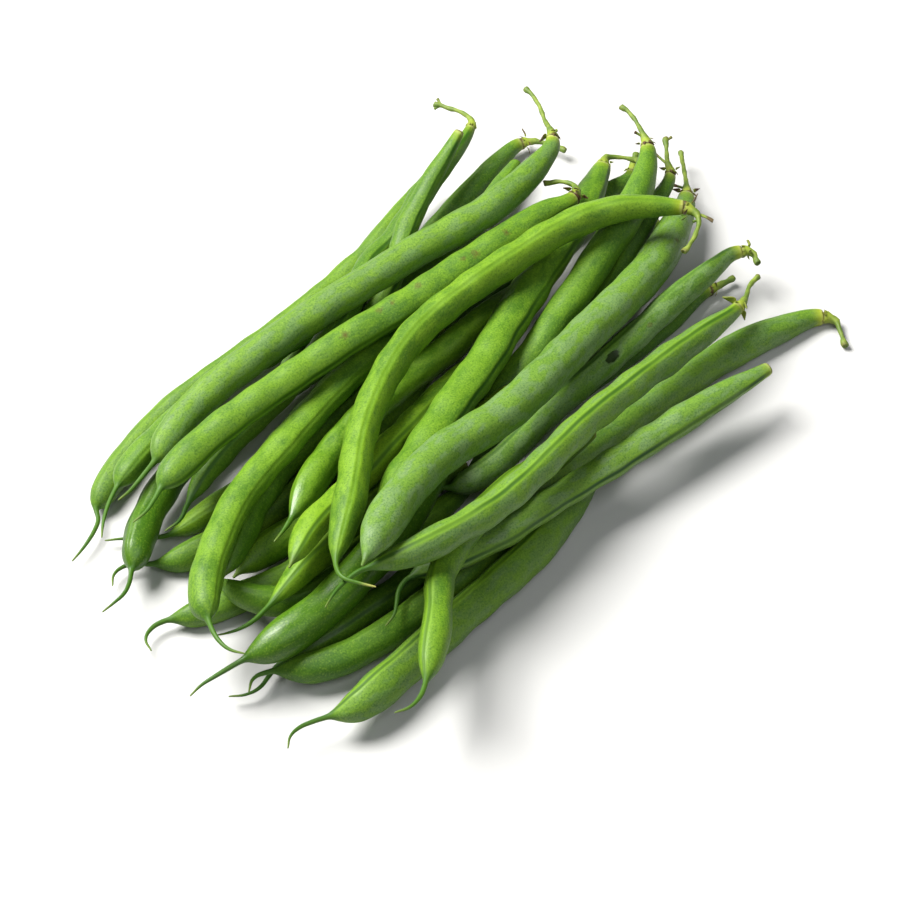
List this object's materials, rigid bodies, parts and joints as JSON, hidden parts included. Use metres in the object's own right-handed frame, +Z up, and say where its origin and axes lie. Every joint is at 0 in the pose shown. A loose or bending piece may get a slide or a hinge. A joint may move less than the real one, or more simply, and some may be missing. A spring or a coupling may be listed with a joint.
{
  "type": "green bean bundle",
  "caption": "Loose bundle of fresh green beans lying in a heap, long slim pods with curled tails and thin stems at one end.",
  "frame": {"origin": "centre of the bounding box, on the surface that the bundle lies on", "axes": "+X along the beans towards their stem ends, +Z up from the surface"},
  "size_m": [0.2336, 0.181, 0.0469],
  "materials": {
    "pod": "fresh green pod skin with a soft waxy bloom, fine darker speckles and paler seams",
    "stem": "yellow-green stalk with a dry brown calyx"
  },
  "bodies": {
    "root": {"bean_01_pod": "pod", "bean_02_pod": "pod", "bean_03_pod": "pod", "bean_04_pod": "pod", "bean_05_pod": "pod", "bean_06_pod": "pod", "bean_07_pod": "pod", "bean_07_stem": "stem", "bean_08_pod": "pod", "bean_09_pod": "pod", "bean_09_stem": "stem", "bean_10_pod": "pod", "bean_11_pod": "pod", "bean_12_pod": "pod", "bean_13_pod": "pod", "bean_13_stem": "stem", "bean_14_pod": "pod", "bean_14_stem": "stem", "bean_15_pod": "pod", "bean_16_pod": "pod", "bean_16_stem": "stem", "bean_17_pod": "pod", "bean_18_pod": "pod", "bean_18_stem": "stem", "bean_19_pod": "pod", "bean_19_stem": "stem", "bean_20_pod": "pod", "bean_21_pod": "pod", "bean_22_pod": "pod", "bean_23_pod": "pod", "bean_23_stem": "stem", "bean_24_pod": "pod", "bean_24_stem": "stem", "bean_25_pod": "pod", "bean_26_pod": "pod", "bean_27_pod": "pod", "bean_28_pod": "pod", "bean_29_pod": "pod", "bean_29_stem": "stem", "bean_30_pod": "pod", "bean_30_stem": "stem", "bean_31_pod": "pod", "bean_32_pod": "pod", "bean_33_pod": "pod", "bean_33_stem": "stem", "bean_34_pod": "pod", "bean_34_stem": "stem", "bean_35_pod": "pod", "bean_35_stem": "stem"}
  },
  "joints": []
}
